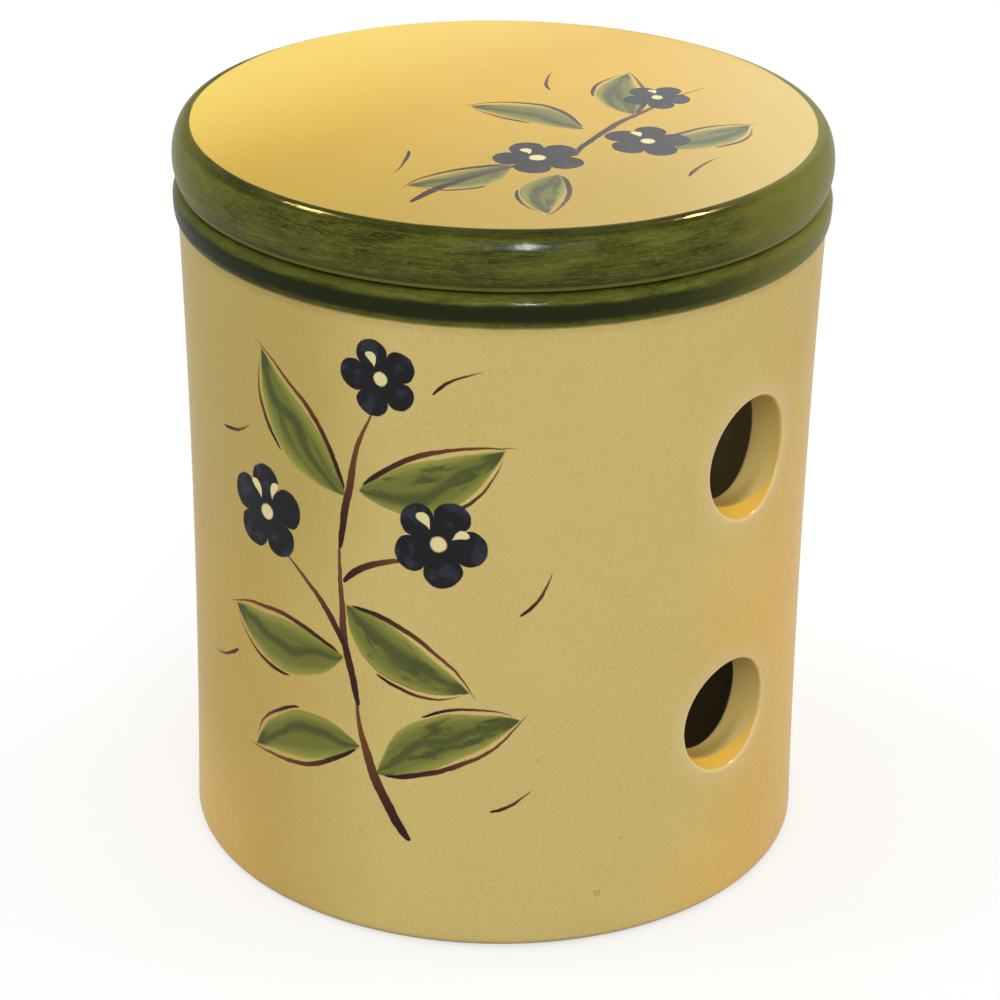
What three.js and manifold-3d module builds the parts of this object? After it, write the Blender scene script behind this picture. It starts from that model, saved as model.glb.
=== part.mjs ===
// Ventilated kitchen keeper in glazed earthenware: a round jar with two columns of vent holes, and a
// flat lid whose locating ring drops into the jar's mouth.
// Millimetres, +Z up, origin at the middle of the foot. The painted front faces -Y and the vents
// open towards +X and -X.

import * as THREE from 'three';
import { mergeVertices } from 'three/addons/utils/BufferGeometryUtils.js';
import Module from 'manifold-3d';

// Jar wall: it flares from the foot to the shoulder, and is drawn in a little between them
const footRadius = 58.4;
const shoulderFlare = 0.95;
const waistDrawIn = 0.875;
const jarHeight = 129.05;
const wallThickness = 7.0;
const floorThickness = 8.0;
const floorCornerRadius = 6.0;

// Foot ring under the jar
const footEdgeRadius = 1.6;
const footRingWidth = 6.0;
const footRecessDepth = 1.8;
const footRingInnerRound = 0.9;

// Rolled bead round the mouth, with the lid's seat inside it
const beadProud = 0.9;
const beadHeight = 5.55;
const beadCrestDepth = 2.3;
const beadStep = 0.6;
const beadShoulderWidth = 2.2;
const mouthRound = 1.5;

// Vent holes: two columns, on opposite sides, with softly rolled lips
const ventRadius = 11.0;
const ventLipRadius = 1.1;
const ventColumns = 2;
const ventHeightShares = [0.316, 0.734];

// Lid
const seatGap = 0.3;
const lidHeight = 10.75;
const lidThickness = 6.5;
const lidTopRoundWidth = 2.8;
const lidTopRoundHeight = 6.0;
const lidUnderDraft = 0.75;
const lidLowerEdgeRadius = 0.8;

// Locating ring under the lid
const ringClearance = 1.2;
const ringWidth = 4.6;
const ringDrop = 8.0;
const ringRound = 1.4;
const ringRootRound = 3.0;

// Facets
const turnSegments = 72;
const wallSteps = 6;
const roundSteps = 3;
const softSteps = 5;
const ventSegments = 36;
const lipSteps = 3;

// How far a cutter runs past the face that it cuts
const overrun = 2.0;

const wasm = await Module();
wasm.setup();

// The radius of the jar's outside at a height: a parabola through foot, waist and shoulder
const shoulderHeight = jarHeight - beadHeight;
function wallRadius(height) {
  const share = height / shoulderHeight;
  return footRadius + shoulderFlare * share - 4 * waistDrawIn * share * (1 - share);
}

// The jar's wall from one height to another, as points of a turned outline
function followWall(outline, fromHeight, toHeight, inset) {
  for (let step = 0; step <= wallSteps; step++) {
    const height = fromHeight + ((toHeight - fromHeight) * step) / wallSteps;
    outline.push(new THREE.Vector2(wallRadius(height) - inset, height));
  }
}

// A quarter of an ellipse between two corners of a turned outline. It leaves the first point along
// the radius or along the height, and arrives the other way.
function quarterRound(outline, from, to, leavesAlongRadius, steps) {
  const centre = leavesAlongRadius ? { x: from.x, y: to.y } : { x: to.x, y: from.y };
  for (let step = 0; step <= steps; step++) {
    const turn = (Math.PI / 2) * (step / steps);
    const fromPart = Math.cos(turn);
    const toPart = Math.sin(turn);
    outline.push(
      new THREE.Vector2(
        centre.x + (from.x - centre.x) * fromPart + (to.x - centre.x) * toPart,
        centre.y + (from.y - centre.y) * fromPart + (to.y - centre.y) * toPart,
      ),
    );
  }
}

// Turn an outline of radius and height about the upright axis
function turned(outline) {
  const clean = outline.filter((point, i) => i === 0 || point.distanceTo(outline[i - 1]) > 0);
  const geometry = new THREE.LatheGeometry(clean, turnSegments);
  geometry.rotateX(Math.PI / 2);
  return geometry;
}

function toSolid(geometry) {
  const bare = geometry.clone();
  bare.deleteAttribute('normal');
  bare.deleteAttribute('uv');
  const merged = mergeVertices(bare);
  return new wasm.Manifold(
    new wasm.Mesh({
      numProp: 3,
      vertProperties: new Float32Array(merged.attributes.position.array),
      triVerts: new Uint32Array(merged.index.array),
    }),
  );
}

function toGeometry(solid) {
  const mesh = solid.getMesh();
  const geometry = new THREE.BufferGeometry();
  geometry.setAttribute('position', new THREE.BufferAttribute(mesh.vertProperties, 3));
  geometry.setIndex(new THREE.BufferAttribute(mesh.triVerts, 1));
  geometry.computeVertexNormals();
  return geometry;
}

// Jar outline: under the foot, up the outside, over the bead and seat, and down the inside
const mouthRadius = wallRadius(shoulderHeight) - wallThickness;
const beadRadius = wallRadius(shoulderHeight) + beadProud;
const seatOuterRadius = beadRadius - beadShoulderWidth;

function jarOutline() {
  const footInner = footRadius - footEdgeRadius - footRingWidth;
  const outline = [new THREE.Vector2(0, footRecessDepth)];
  quarterRound(
    outline,
    { x: footInner - footRingInnerRound, y: footRecessDepth },
    { x: footInner, y: footRecessDepth - footRingInnerRound },
    true,
    roundSteps,
  );
  outline.push(new THREE.Vector2(footInner, 0));
  quarterRound(
    outline,
    { x: wallRadius(0) - footEdgeRadius, y: 0 },
    { x: wallRadius(footEdgeRadius), y: footEdgeRadius },
    true,
    roundSteps,
  );
  followWall(outline, footEdgeRadius, shoulderHeight - beadStep, 0);

  const crest = { x: beadRadius, y: jarHeight - beadCrestDepth };
  const undercut = { x: beadRadius - beadProud / 2, y: shoulderHeight };
  quarterRound(outline, undercut, crest, true, roundSteps);
  quarterRound(outline, crest, { x: seatOuterRadius, y: jarHeight }, false, softSteps);

  quarterRound(
    outline,
    { x: mouthRadius + mouthRound, y: jarHeight },
    { x: mouthRadius, y: jarHeight - mouthRound },
    true,
    roundSteps,
  );
  followWall(outline, shoulderHeight, floorThickness + floorCornerRadius, wallThickness);
  const corner = floorThickness + floorCornerRadius;
  quarterRound(
    outline,
    { x: wallRadius(corner) - wallThickness, y: corner },
    { x: wallRadius(corner) - wallThickness - floorCornerRadius, y: floorThickness },
    false,
    softSteps,
  );
  outline.push(new THREE.Vector2(0, floorThickness));
  return outline;
}

// One vent's cutter, along +X. Its rings follow the round wall inside and out, so that each lip is
// rolled by the same amount all the way round, though the edge rises and falls with the wall.
function ventCutter(height) {
  const rings = [];
  const addRing = (radius, inset, depth) => rings.push({ radius, inset, depth });
  const tangentTurn = (Math.PI / 2) * (lipSteps / (lipSteps + 1));
  const flare = (turn) => ({
    radius: ventRadius + ventLipRadius * (1 - Math.cos(turn)),
    depth: ventLipRadius * (1 - Math.sin(turn)),
  });
  const mouth = flare(tangentTurn);
  const outward = { radius: Math.sin(tangentTurn), depth: Math.cos(tangentTurn) };

  addRing(mouth.radius + overrun * outward.radius, 0, mouth.depth - overrun * outward.depth);
  for (let step = lipSteps; step >= 0; step--) {
    const lip = flare((tangentTurn * step) / lipSteps);
    addRing(lip.radius, 0, lip.depth);
  }
  for (let step = 0; step <= lipSteps; step++) {
    const lip = flare((tangentTurn * step) / lipSteps);
    addRing(lip.radius, wallThickness, -lip.depth);
  }
  addRing(
    mouth.radius + overrun * outward.radius,
    wallThickness,
    overrun * outward.depth - mouth.depth,
  );

  const positions = [];
  const place = (ring, turn) => {
    const across = ring.radius * Math.sin(turn);
    const up = height + ring.radius * Math.cos(turn);
    const reach = wallRadius(up) - ring.inset;
    return [Math.sqrt(reach * reach - across * across) - ring.depth, across, up];
  };
  for (const ring of rings) {
    for (let i = 0; i < ventSegments; i++) {
      positions.push(...place(ring, (2 * Math.PI * i) / ventSegments));
    }
  }
  const outerCentre = positions.length / 3;
  positions.push(wallRadius(height) + overrun, 0, height);
  const innerCentre = outerCentre + 1;
  positions.push(wallRadius(height) - wallThickness - overrun - ventLipRadius, 0, height);

  const faces = [];
  for (let i = 0; i < ventSegments; i++) {
    const next = (i + 1) % ventSegments;
    for (let ring = 0; ring < rings.length - 1; ring++) {
      const a = ring * ventSegments;
      const b = a + ventSegments;
      faces.push(a + i, a + next, b + i);
      faces.push(a + next, b + next, b + i);
    }
    const last = (rings.length - 1) * ventSegments;
    faces.push(outerCentre, next, i);
    faces.push(innerCentre, last + i, last + next);
  }
  const geometry = new THREE.BufferGeometry();
  geometry.setAttribute('position', new THREE.Float32BufferAttribute(positions, 3));
  geometry.setIndex(faces);
  return geometry;
}

function jarGeometry() {
  let jar = toSolid(turned(jarOutline()));
  for (const share of ventHeightShares) {
    for (let column = 0; column < ventColumns; column++) {
      const cutter = ventCutter(share * shoulderHeight);
      cutter.rotateZ((2 * Math.PI * column) / ventColumns);
      jar = jar.subtract(toSolid(cutter));
    }
  }
  return toGeometry(jar);
}

// Lid outline: from the middle of the underside, round the locating ring, over the rim, and back
// across the flat top. Its rim stands flush with the jar's bead.
const lidRadius = beadRadius;
const lidBottom = jarHeight + seatGap;
const lidTop = lidBottom + lidHeight;

function lidOutline() {
  const underside = lidTop - lidThickness;
  const ringOuter = mouthRadius - ringClearance;
  const ringInner = ringOuter - ringWidth;
  const ringBottom = lidBottom - ringDrop;
  const outline = [new THREE.Vector2(0, underside)];
  quarterRound(
    outline,
    { x: ringInner - ringRootRound, y: underside },
    { x: ringInner, y: underside - ringRootRound },
    true,
    roundSteps,
  );
  quarterRound(
    outline,
    { x: ringInner, y: ringBottom + ringRound },
    { x: ringInner + ringRound, y: ringBottom },
    false,
    roundSteps,
  );
  quarterRound(
    outline,
    { x: ringOuter - ringRound, y: ringBottom },
    { x: ringOuter, y: ringBottom + ringRound },
    true,
    roundSteps,
  );
  outline.push(new THREE.Vector2(ringOuter, lidBottom));

  const lowerRadius = lidRadius - lidUnderDraft;
  const crest = { x: lidRadius, y: lidTop - lidTopRoundHeight };
  quarterRound(
    outline,
    { x: lowerRadius - lidLowerEdgeRadius, y: lidBottom },
    { x: lowerRadius, y: lidBottom + lidLowerEdgeRadius },
    true,
    roundSteps,
  );
  for (let step = 1; step < roundSteps; step++) {
    const share = step / roundSteps;
    const height = lidBottom + lidLowerEdgeRadius;
    outline.push(
      new THREE.Vector2(
        lowerRadius + lidUnderDraft * (1 - (1 - share) * (1 - share)),
        height + (crest.y - height) * share,
      ),
    );
  }
  quarterRound(
    outline,
    crest,
    { x: lidRadius - lidTopRoundWidth, y: lidTop },
    false,
    softSteps,
  );
  outline.push(new THREE.Vector2(0, lidTop));
  return outline;
}

function glazed(color) {
  return new THREE.MeshStandardMaterial({ color, roughness: 0.25, metalness: 0 });
}

const keeper = new THREE.Group();

const jar = new THREE.Mesh(jarGeometry(), glazed('#c5b06d'));
jar.name = 'jar';
keeper.add(jar);

const lid = new THREE.Mesh(turned(lidOutline()), glazed('#e0b866'));
lid.name = 'lid';
keeper.add(lid);

export default keeper;
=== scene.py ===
# A ventilated keeper in glazed, hand-painted earthenware: a round jar with vent holes, and its lid.
# Metres, +Z up. The painted front faces -Y and the vents open towards +X and -X.
import math

import bmesh
import bpy
from bpy.props import FloatProperty, FloatVectorProperty, IntProperty, PointerProperty
from bpy.types import Operator, Panel, PropertyGroup
from mathutils import Matrix, Vector


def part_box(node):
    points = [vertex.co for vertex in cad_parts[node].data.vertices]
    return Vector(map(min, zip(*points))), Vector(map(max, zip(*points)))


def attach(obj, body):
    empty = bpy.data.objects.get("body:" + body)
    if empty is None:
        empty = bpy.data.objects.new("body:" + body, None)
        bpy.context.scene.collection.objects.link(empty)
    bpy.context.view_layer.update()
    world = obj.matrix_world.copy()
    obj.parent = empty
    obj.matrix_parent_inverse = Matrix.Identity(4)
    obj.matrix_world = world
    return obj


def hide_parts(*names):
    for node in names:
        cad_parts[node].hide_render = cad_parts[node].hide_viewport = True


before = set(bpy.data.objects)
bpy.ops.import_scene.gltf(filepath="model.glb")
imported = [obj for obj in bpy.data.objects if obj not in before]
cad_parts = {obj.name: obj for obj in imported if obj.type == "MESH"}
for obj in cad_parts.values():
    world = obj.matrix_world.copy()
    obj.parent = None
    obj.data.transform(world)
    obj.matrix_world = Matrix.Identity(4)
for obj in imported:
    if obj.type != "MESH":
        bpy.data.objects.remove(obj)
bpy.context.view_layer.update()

bl_info = {
    "name": "Ventilated keeper",
    "version": (1, 0, 0),
    "blender": (4, 5, 0),
    "location": "3D View > Sidebar > Keeper",
    "description": "Builds a lidded earthenware keeper with vent holes, its glazes and its studio stage",
    "category": "Object",
}

MM = 0.001
# Points that lie closer than this, in metres, are one
TOUCHING = 1e-7
jar_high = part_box("jar")[1]
lid_low, lid_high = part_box("lid")


def linear(hex_colour):
    """An sRGB hex colour, such as #C5B06D, as linear red, green, blue and alpha"""
    channels = [int(hex_colour[i : i + 2], 16) / 255 for i in (1, 3, 5)]
    curved = [c / 12.92 if c <= 0.04045 else ((c + 0.055) / 1.055) ** 2.4 for c in channels]
    return (*curved, 1.0)


def size_of(name, description, default):
    """A length in metres that the panel lists"""
    return FloatProperty(
        name=name, description=description, default=default, min=0.0, precision=5, unit="LENGTH"
    )


def colour_of(name, description, hex_colour):
    """A colour that the panel lists, from its sRGB hex"""
    return FloatVectorProperty(
        name=name, description=description, default=linear(hex_colour),
        size=4, min=0.0, max=1.0, subtype="COLOR",
    )


class KeeperJarSizes(PropertyGroup):
    """Sizes of the jar"""

    foot_radius: size_of("Foot radius", "Radius of the wall where it meets the foot", 58.4 * MM)
    waist_draw_in: size_of("Waist draw-in", "How far the wall is drawn in halfway up", 0.875 * MM)
    wall_thickness: size_of("Wall thickness", "Thickness of the fired wall", 7.0 * MM)
    floor_thickness: size_of("Floor thickness", "Height of the inside floor over the foot", 8.0 * MM)
    floor_corner: size_of("Floor corner", "Round between the inside wall and the floor", 6.0 * MM)
    foot_edge: size_of("Foot edge", "Round at the outside edge of the foot", 1.6 * MM)
    foot_ring_width: size_of("Foot ring width", "Flat width of the ring that the jar stands on", 6.0 * MM)
    foot_recess: size_of("Foot recess", "How far the base is let in inside the foot ring", 1.8 * MM)
    foot_inner_round: size_of("Foot inner round", "Round at the inside of the foot ring", 0.9 * MM)
    bead_proud: size_of("Bead proud", "How far the bead stands out from the wall", 0.9 * MM)
    bead_height: size_of("Bead height", "Height of the bead round the mouth", 5.55 * MM)
    bead_crest: size_of("Bead crest", "Depth of the bead's widest place under the seat", 2.3 * MM)
    bead_step: size_of("Bead step", "Height of the step under the bead", 0.6 * MM)
    bead_shoulder: size_of("Bead shoulder", "Width of the bead's upper round", 2.2 * MM)
    mouth_round: size_of("Mouth round", "Round between the seat and the mouth", 1.5 * MM)
    vent_radius: size_of("Vent radius", "Radius of each vent hole", 11.0 * MM)
    vent_lip: size_of("Vent lip", "Round of the glazed lip of each vent", 0.6 * MM)
    vent_low_share: FloatProperty(
        name="Lower vents", description="Height of the lower vents as a share of the shoulder", default=0.316
    )
    vent_high_share: FloatProperty(
        name="Upper vents", description="Height of the upper vents as a share of the shoulder", default=0.734
    )


class KeeperLidSizes(PropertyGroup):
    """Sizes of the lid"""

    height: size_of("Rim height", "Height of the lid's rim over its seat", 10.75 * MM)
    thickness: size_of("Panel thickness", "Thickness of the flat panel", 6.5 * MM)
    round_width: size_of("Rim round width", "Width of the rim's upper round", 2.8 * MM)
    round_height: size_of("Rim round height", "Height of the rim's upper round", 6.0 * MM)
    under_draft: size_of("Rim draft", "How far the rim is drawn in towards its lower edge", 0.75 * MM)
    lower_edge: size_of("Lower edge", "Round at the rim's lower edge", 0.8 * MM)
    ring_clearance: size_of("Ring clearance", "Gap between the locating ring and the mouth", 1.2 * MM)
    ring_width: size_of("Ring width", "Thickness of the locating ring", 4.6 * MM)
    ring_round: size_of("Ring round", "Round at the ring's lower edges", 1.4 * MM)
    ring_root: size_of("Ring root", "Round where the ring meets the panel", 3.0 * MM)


class KeeperGlazes(PropertyGroup):
    """Colours of the glazes, the paint and the clay, and of the light and shade painted on them"""

    jar_straw: colour_of("Jar straw", "Straw-yellow slip of the jar's wall", "#CFBC75")
    # Painted light and shade on the jar's straw: warm side light, side shade and the shadow under the bead
    jar_warm_lit: colour_of("Jar straw, painted warm light", "Warm side light painted on the straw slip", "#E3BB66")
    jar_shaded_tan: colour_of("Jar tan, painted shade", "Side shade painted on the straw slip", "#C2A557")
    jar_shadow_dull: colour_of("Jar dull straw, painted shadow", "Shadow painted on the straw slip under the bead", "#B7A65D")
    lid_gold: colour_of("Lid gold", "Golden middle of the lid's straw slip", "#DBB02E")
    # Painted light and shade on the lid's straw: shade where the light falls off, a lit side and a sheen
    lid_shaded_straw: colour_of("Lid straw, painted shade", "Where the light painted on the lid's straw slip falls off", "#BA9B30")
    lid_lit_yellow: colour_of("Lid yellow, painted light", "Light painted on one side of the lid's straw slip", "#F4D562")
    lid_sheen_pale: colour_of("Lid pale straw, painted sheen", "Sheen painted on the other side of the lid's straw slip", "#D6BA66")
    halo: colour_of("Thin glaze", "Where the glaze drew back from the vents' lips", "#DCC596")
    # Lamp light painted on the floor of each vent
    vent_light: colour_of("Painted vent light", "Lamp light painted on the floor of each vent", "#F4C24C")
    bore: colour_of("Vent glaze", "Straw slip inside the vents", "#DAC27A")
    bore_brown: colour_of("Brown vent glaze", "Browner towards the top of each vent and in patches", "#E8BC56")
    # Shade painted at the inner foot of the vents
    bore_shade: colour_of("Vent shade", "Shade painted at the inner foot of the vents", "#A08038")
    inside: colour_of("Inside", "Plain glaze inside the jar and under the lid", "#D8CA9C")
    # Shade painted deep inside the jar
    inside_shade: colour_of("Inside, painted shade", "Shade painted deep inside the jar, towards its floor", "#7C745C")
    speckle: colour_of("Speckle", "Iron speckle that bleeds through the slip", "#BC7E2A")
    green: colour_of("Brushed green", "Green slip brushed round the bead and the rim", "#4C501A")
    # Also the light painted on the green slip
    green_light: colour_of("Thin green and painted light", "The green slip where the brush left it thin, and light painted on it", "#7C7A32")
    # Also the shade painted on the green slip
    green_dark: colour_of("Thick green and painted shade", "The green slip where it lies thick, and shade painted on it", "#1E2308")
    leaf: colour_of("Leaf green", "Olive wash of the leaves", "#666E26")
    leaf_pale: colour_of("Leaf edge", "Thin edge of the olive wash", "#939440")
    leaf_dark: colour_of("Leaf stroke", "Dark strokes in the leaves", "#36431A")
    line: colour_of("Brown line", "Thin end of a painted line", "#6E3F22")
    line_dark: colour_of("Dark brown line", "Thick start of a painted line", "#2C130A")
    petal: colour_of("Blossom", "Blue-black of the blossoms", "#131417")
    petal_pale: colour_of("Blossom bloom", "Where the blue-black lies thinner", "#262A33")
    cream: colour_of("Cream", "Cream strokes on the blossoms", "#E3D59A")
    clay: colour_of("Bare clay", "Unglazed fired clay", "#C08A5E")
    clay_dark: colour_of("Clay pores", "Pores of the unglazed clay", "#9A6A45")


class KeeperFineness(PropertyGroup):
    """How finely the shapes are made"""

    columns: IntProperty(name="Columns", description="Faces round each turned piece", default=240, min=48)
    row_height: size_of("Row height", "Height of a face on the wall", 1.6 * MM)
    vent_columns: IntProperty(
        name="Vent columns", description="Columns either side of a vent", default=11, min=9
    )
    vent_reach: size_of("Vent reach", "Half the height of the patch round a vent", 16.0 * MM)


# Shapes


class Outline:
    """A turned piece's section: points of radius and height, and the finish of the face after each"""

    def __init__(self):
        self.points = []
        self.finishes = []

    def add(self, radius, height, finish):
        """Go to a point, and say which it is"""
        if self.points and math.dist(self.points[-1], (radius, height)) < TOUCHING:
            self.finishes[-1] = finish
        else:
            self.points.append((radius, height))
            self.finishes.append(finish)
        return len(self.points) - 1

    def straight(self, radius, height, finish, steps):
        """Go straight to a point, in equal steps"""
        start = self.points[-1]
        self.finishes[-1] = finish
        for step in range(1, steps + 1):
            share = step / steps
            self.add(
                start[0] + (radius - start[0]) * share, start[1] + (height - start[1]) * share, finish
            )

    def quarter(self, radius, height, leaves_along_radius, finish, steps):
        """Go to a point by a quarter of an ellipse, which leaves along the radius or along the height"""
        start = self.points[-1]
        self.finishes[-1] = finish
        centre = (start[0], height) if leaves_along_radius else (radius, start[1])
        for step in range(1, steps + 1):
            turn = math.pi / 2 * step / steps
            self.add(
                centre[0] + (start[0] - centre[0]) * math.cos(turn) + (radius - centre[0]) * math.sin(turn),
                centre[1] + (start[1] - centre[1]) * math.cos(turn) + (height - centre[1]) * math.sin(turn),
                finish,
            )


class Shell:
    """Points and faces of a closed piece while it is made"""

    def __init__(self):
        self.points = []
        self.faces = []
        self.finishes = []

    def ring(self, points):
        """Add a ring of points and say where they are"""
        first = len(self.points)
        self.points.extend(points)
        return list(range(first, len(self.points)))

    def join(self, low, high, finish, skip=()):
        """Faces between two rings of as many points"""
        for i in range(len(low)):
            if i in skip:
                continue
            after = (i + 1) % len(low)
            self.faces.append((low[i], low[after], high[after], high[i]))
            self.finishes.append(finish)

    def cap(self, ring, centre, finish):
        """Faces between a ring and a point in its middle"""
        middle = self.ring([centre])[0]
        for i in range(len(ring)):
            self.faces.append((ring[i], ring[(i + 1) % len(ring)], middle))
            self.finishes.append(finish)

    def to_object(self, name, materials):
        """Make the piece an object with its faces outwards. It has to be closed."""
        mesh = bpy.data.meshes.new(name)
        mesh.from_pydata([tuple(point) for point in self.points], [], self.faces)
        mesh.polygons.foreach_set("material_index", self.finishes)
        mesh.polygons.foreach_set("use_smooth", [True] * len(self.faces))
        for material in materials:
            mesh.materials.append(material)
        work = bmesh.new()
        work.from_mesh(mesh)
        bmesh.ops.recalc_face_normals(work, faces=work.faces)
        open_edges = [edge for edge in work.edges if not edge.is_manifold]
        work.to_mesh(mesh)
        work.free()
        if open_edges:
            raise RuntimeError(f"{name} has {len(open_edges)} open edges")
        piece = bpy.data.objects.new(name, mesh)
        bpy.context.scene.collection.objects.link(piece)
        return piece


# How far a piece made by hand is out of round, as a share of its radius
OUT_OF_ROUND = 0.0012


def turned_point(radius, height, turn):
    """A point at a turn from the front, -Y, towards +X. A hand-made piece is never quite round."""
    wobble = 0.5 + 0.25 * math.sin(2 * turn + 0.7) + 0.25 * math.sin(3 * turn - 0.04 * height / MM)
    radius *= 1 - OUT_OF_ROUND * wobble
    return (radius * math.sin(turn), -radius * math.cos(turn), height)


def turn_outline(outline, columns, skip_faces=lambda row: ()):
    """Turn a section about the upright axis, with a fan at each end that lies on the axis"""
    shell = Shell()
    turns = [2 * math.pi * i / columns for i in range(columns)]
    rows = [
        shell.ring([turned_point(radius, height, turn) for turn in turns]) if radius > 0 else None
        for radius, height in outline.points
    ]
    for row in range(len(rows) - 1):
        finish = outline.finishes[row]
        if rows[row] is None:
            shell.cap(rows[row + 1], (0.0, 0.0, outline.points[row][1]), finish)
        elif rows[row + 1] is None:
            shell.cap(rows[row], (0.0, 0.0, outline.points[row + 1][1]), finish)
        else:
            shell.join(rows[row], rows[row + 1], finish, skip_faces(row))
    return shell, rows


WALL, BEAD, INSIDE, CLAY = range(4)
# How each row of vents was cut by hand: off its place, round and up, and how wide and high it is, as
# shares of the radius
VENTS_BY_HAND = {
    "vent_low_share": (-0.8 * MM, -0.3 * MM, 0.995, 0.985),
    "vent_high_share": (1.9 * MM, -0.8 * MM, 0.965, 1.058),
}
# Radius of the fan of faces where a turned piece crosses the axis
HUB_RADIUS = 2.0 * MM
# How far the bead's finish reaches down the wall under the step, with the green slip's ragged edge in it, and
# in over the seat, and how far the rim's finish reaches in over the panel
BEAD_UNDER_STEP = 2.5 * MM
BEAD_OVER_SEAT = 0.5 * MM
RIM_OVER_PANEL = 0.6 * MM


class Vent:
    """A vent hole, cut by hand: how far off its place it is, round and up, and how wide and high it is.

    Glaze pooled at its foot, which is this much higher inside the wall than outside.
    """

    foot_rise = 2.0 * MM

    def __init__(self, sizes, row_height, off_round, off_up, width_share, height_share):
        self.row_height = row_height
        self.height = row_height + off_up
        self.off_round = off_round
        self.half_width = sizes.vent_radius * width_share
        self.half_height = sizes.vent_radius * height_share


class JarShape:
    """The jar's outline, with the rows that the vents need"""

    def __init__(self, sizes, fineness):
        self.sizes = sizes
        self.fineness = fineness
        self.rim_radius = jar_high.x
        self.height = jar_high.z
        self.shoulder = self.height - sizes.bead_height
        self.flare = self.rim_radius - sizes.bead_proud - sizes.foot_radius
        self.vents = [
            Vent(sizes, getattr(sizes, share) * self.shoulder, *by_hand)
            for share, by_hand in VENTS_BY_HAND.items()
        ]
        self.outside_rows = {}
        self.inside_rows = {}
        self.outline = self.make_outline()

    def wall_radius(self, height):
        """Radius of the wall's outside, which flares and is drawn in at its waist"""
        share = height / self.shoulder
        waist = 4 * self.sizes.waist_draw_in * share * (1 - share)
        return self.sizes.foot_radius + self.flare * share - waist

    def wall_heights(self, low, high):
        """Heights of the rows between two levels, with a row at the top and bottom of each vent's patch"""
        reach = self.fineness.vent_reach
        marks = [low]
        for vent in self.vents:
            marks += [vent.row_height - reach, vent.row_height + reach]
        marks.append(high)
        heights = [low]
        for start, end in zip(marks, marks[1:]):
            steps = max(1, round((end - start) / self.fineness.row_height))
            heights += [start + (end - start) * step / steps for step in range(1, steps + 1)]
        return heights

    def make_outline(self):
        """The section, from the middle of the base up the outside and down the inside"""
        s = self.sizes
        outline = Outline()
        foot_inner = s.foot_radius - s.foot_edge - s.foot_ring_width
        corner = s.foot_inner_round / 3
        outline.add(0.0, s.foot_recess, CLAY)
        outline.add(HUB_RADIUS, s.foot_recess, CLAY)
        outline.straight(foot_inner - s.foot_inner_round, s.foot_recess, CLAY, 12)
        outline.quarter(foot_inner, s.foot_recess - s.foot_inner_round, True, CLAY, 5)
        outline.add(foot_inner, corner, CLAY)
        outline.quarter(foot_inner + corner, 0.0, False, CLAY, 3)
        outline.straight(self.wall_radius(0) - s.foot_edge, 0.0, CLAY, 4)
        outline.quarter(self.wall_radius(s.foot_edge), s.foot_edge, True, WALL, 8)

        inside_start = s.floor_thickness + s.floor_corner
        step_height = self.shoulder - s.bead_step
        heights = self.wall_heights(inside_start, step_height)
        outline.straight(self.wall_radius(inside_start), inside_start, WALL, 8)
        for height in heights:
            finish = WALL if height < step_height - BEAD_UNDER_STEP else BEAD
            self.outside_rows[height] = outline.add(self.wall_radius(height), height, finish)

        seat = self.rim_radius - s.bead_shoulder
        mouth = self.rim_radius - s.bead_proud - s.wall_thickness
        outline.straight(self.rim_radius - s.bead_proud / 2, self.shoulder, BEAD, 3)
        outline.quarter(self.rim_radius, self.height - s.bead_crest, True, BEAD, 8)
        outline.quarter(seat, self.height, False, BEAD, 12)
        outline.straight(seat - BEAD_OVER_SEAT, self.height, BEAD, 1)
        outline.straight(mouth + s.mouth_round, self.height, CLAY, 4)
        outline.quarter(mouth, self.height - s.mouth_round, True, INSIDE, 6)
        outline.straight(mouth, self.shoulder, INSIDE, 3)
        for height in reversed(heights):
            self.inside_rows[height] = outline.add(
                self.wall_radius(height) - s.wall_thickness, height, INSIDE
            )
        corner_start = self.wall_radius(inside_start) - s.wall_thickness
        outline.quarter(corner_start - s.floor_corner, s.floor_thickness, False, INSIDE, 8)
        outline.straight(HUB_RADIUS, s.floor_thickness, INSIDE, 14)
        outline.add(0.0, s.floor_thickness, INSIDE)
        return outline

    def patch_columns(self, turn):
        """Columns of the patch round the vents at this turn"""
        middle = round(turn / (2 * math.pi) * self.fineness.columns)
        reach = self.fineness.vent_columns
        return [(middle + i) % self.fineness.columns for i in range(-reach, reach + 1)]

    def patch_rows(self, rows, vent):
        """Rows of a vent's patch, from the lowest"""
        reach = self.fineness.vent_reach + TOUCHING
        return [rows[height] for height in sorted(rows) if abs(height - vent.row_height) < reach]

    def patch_loop(self, rows, vent, columns, ring_of):
        """The points round a vent's patch, once round from its lower left corner"""
        low, *middle, high = self.patch_rows(rows, vent)
        loop = [ring_of[low][column] for column in columns]
        loop += [ring_of[row][columns[-1]] for row in middle]
        loop += [ring_of[high][column] for column in reversed(columns)]
        loop += [ring_of[row][columns[0]] for row in reversed(middle)]
        return loop


def vent_point(shape, vent, turn, across, up, inset, depth):
    """A point of a vent, this far across and up from its middle, into the wall, and sunk under its face"""
    level = vent.height + up
    reach = shape.wall_radius(level) - inset
    away = math.sqrt(reach * reach - across * across) - depth
    angle = turn + math.atan2(across, away)
    return turned_point(math.hypot(across, away), level, angle)


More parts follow.
